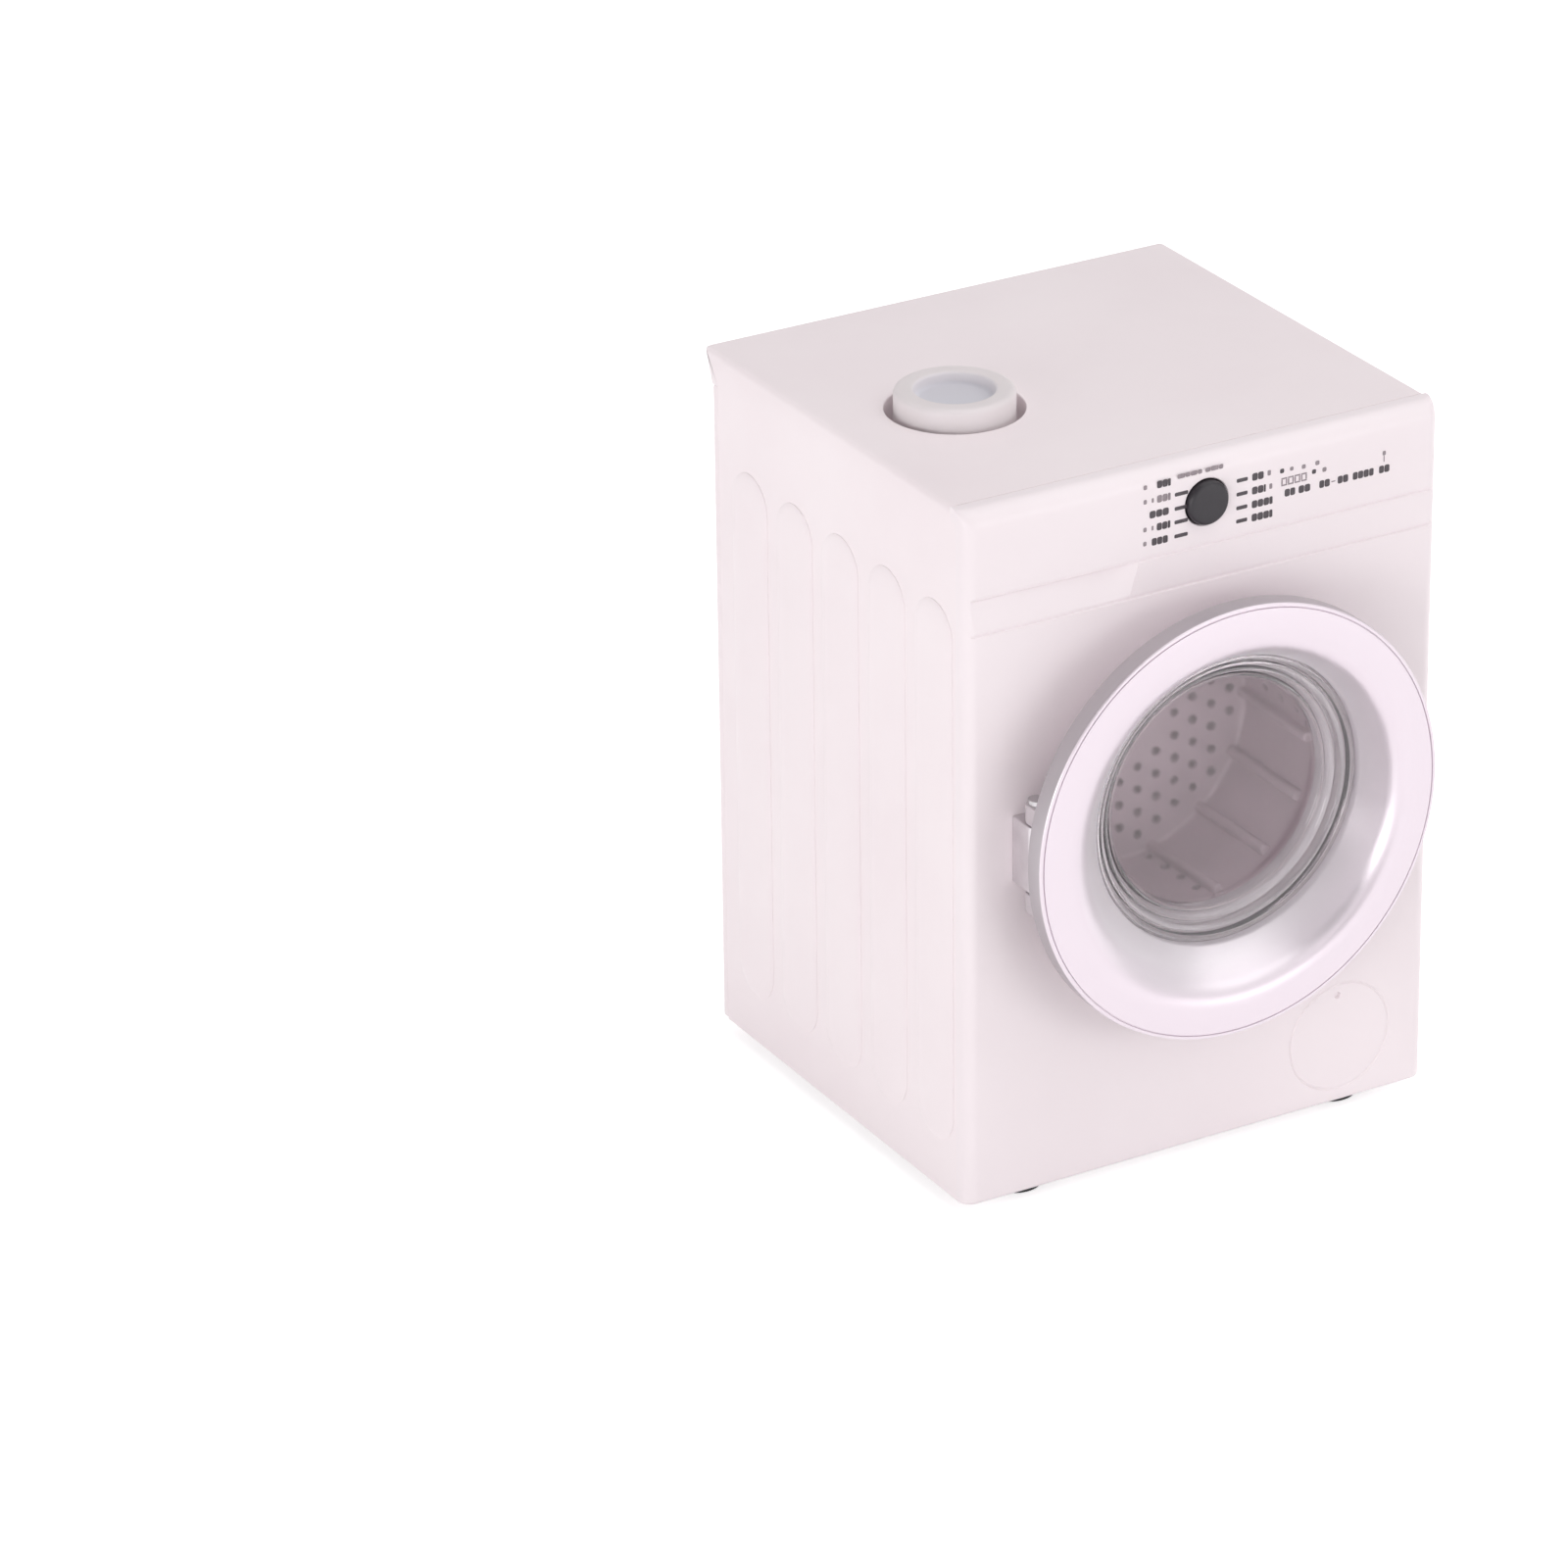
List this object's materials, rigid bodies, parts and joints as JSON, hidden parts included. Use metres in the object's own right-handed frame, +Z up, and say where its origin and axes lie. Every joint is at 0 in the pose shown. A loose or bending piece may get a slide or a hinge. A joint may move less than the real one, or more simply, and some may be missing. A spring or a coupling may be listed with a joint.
{
  "type": "toy washing machine",
  "caption": "Front-loading toy washing machine with a hinged round door, belt-driven drum, push button and capped water filler.",
  "frame": {"origin": "on the ground, under the middle of the whole part's box", "axes": "+Z up, the door and front panel face -Y, +X to the right seen from the front"},
  "size_m": [0.059, 0.0622, 0.0837],
  "materials": {
    "casing": "white moulded plastic, satin",
    "trim_silver": "plastic coated in satin silver",
    "window_clear": "clear moulded plastic",
    "drum_grey": "grey plated plastic",
    "tub_grey": "grey moulded plastic",
    "seal_silicone": "soft grey silicone",
    "cap_frosted": "frosted translucent plastic",
    "button_dark": "dark grey satin plastic",
    "foot_rubber": "black rubber",
    "steel": "plain steel",
    "brass": "turned brass",
    "circuit_green": "green lacquered circuit board",
    "wire_red": "plastic insulation",
    "battery_pouch": "laminated foil pouch",
    "black_plastic": "black moulded plastic"
  },
  "bodies": {
    "cabinet": {"cabinet_shell": "casing", "front_panel": "casing", "back_cover": "casing", "base_plate": "casing", "foot_1": "foot_rubber", "foot_2": "foot_rubber", "foot_3": "foot_rubber", "foot_4": "foot_rubber", "shaft_seal": "foot_rubber", "drive_belt": "foot_rubber", "door_seal": "seal_silicone", "outer_tub": "tub_grey", "filler_neck": "tub_grey", "shaft_bush": "brass", "drive_motor": "steel", "charging_port": "steel", "hinge_pin": "steel", "back_screw_1": "steel", "back_screw_2": "steel", "back_screw_3": "steel", "back_screw_4": "steel", "base_screw_1": "steel", "base_screw_2": "steel", "base_screw_3": "steel", "base_screw_4": "steel", "tub_screw_1": "steel", "tub_screw_2": "steel", "tub_screw_3": "steel", "tub_screw_4": "steel", "motor_screw_1": "steel", "motor_screw_2": "steel", "motor_bracket": "black_plastic", "push_switch": "black_plastic", "battery": "battery_pouch", "circuit_board": "circuit_green", "switch_board": "circuit_green", "hinge_block": "trim_silver", "battery_lead": "wire_red", "motor_lead": "wire_red", "switch_lead": "wire_red"},
    "door": {"door_ring": "trim_silver", "door_liner": "trim_silver", "door_glass": "window_clear", "door_catch": "trim_silver"},
    "drum": {"drum_shell": "drum_grey", "drum_hub": "drum_grey", "drum_shaft": "steel", "drum_pulley": "black_plastic", "pulley_screw": "steel"},
    "motor_rotor": {"motor_shaft": "steel", "motor_pulley": "brass"},
    "button": {"power_button": "button_dark", "switch_plunger": "black_plastic"},
    "cap": {"filler_cap": "cap_frosted"}
  },
  "joints": [
    {"name": "door_hinge", "type": "hinge", "parent": "cabinet", "child": "door", "pos_m": [-0.0224, -0.02635, 0.0426], "axis": [0, 0, -1], "range_deg": [0, 95]},
    {"name": "drum_spin", "type": "hinge", "parent": "cabinet", "child": "drum", "pos_m": [0.002, 0.01, 0.0426], "axis": [0, 1, 0], "continuous": true},
    {"name": "motor_spin", "type": "hinge", "parent": "cabinet", "child": "motor_rotor", "pos_m": [0.002, 0.01, 0.0118], "axis": [0, 1, 0], "continuous": true},
    {"name": "button_press", "type": "slide", "parent": "cabinet", "child": "button", "axis": [0, 1, 0], "range_m": [0, 0.0007], "stiffness_N_per_m": 400},
    {"name": "cap_pull", "type": "slide", "parent": "cabinet", "child": "cap", "axis": [0, 0, 1], "range_m": [0, 0.01]}
  ],
  "couplings": [
    {"joint": "motor_spin", "follows": "drum_spin", "ratio": 4}
  ]
}
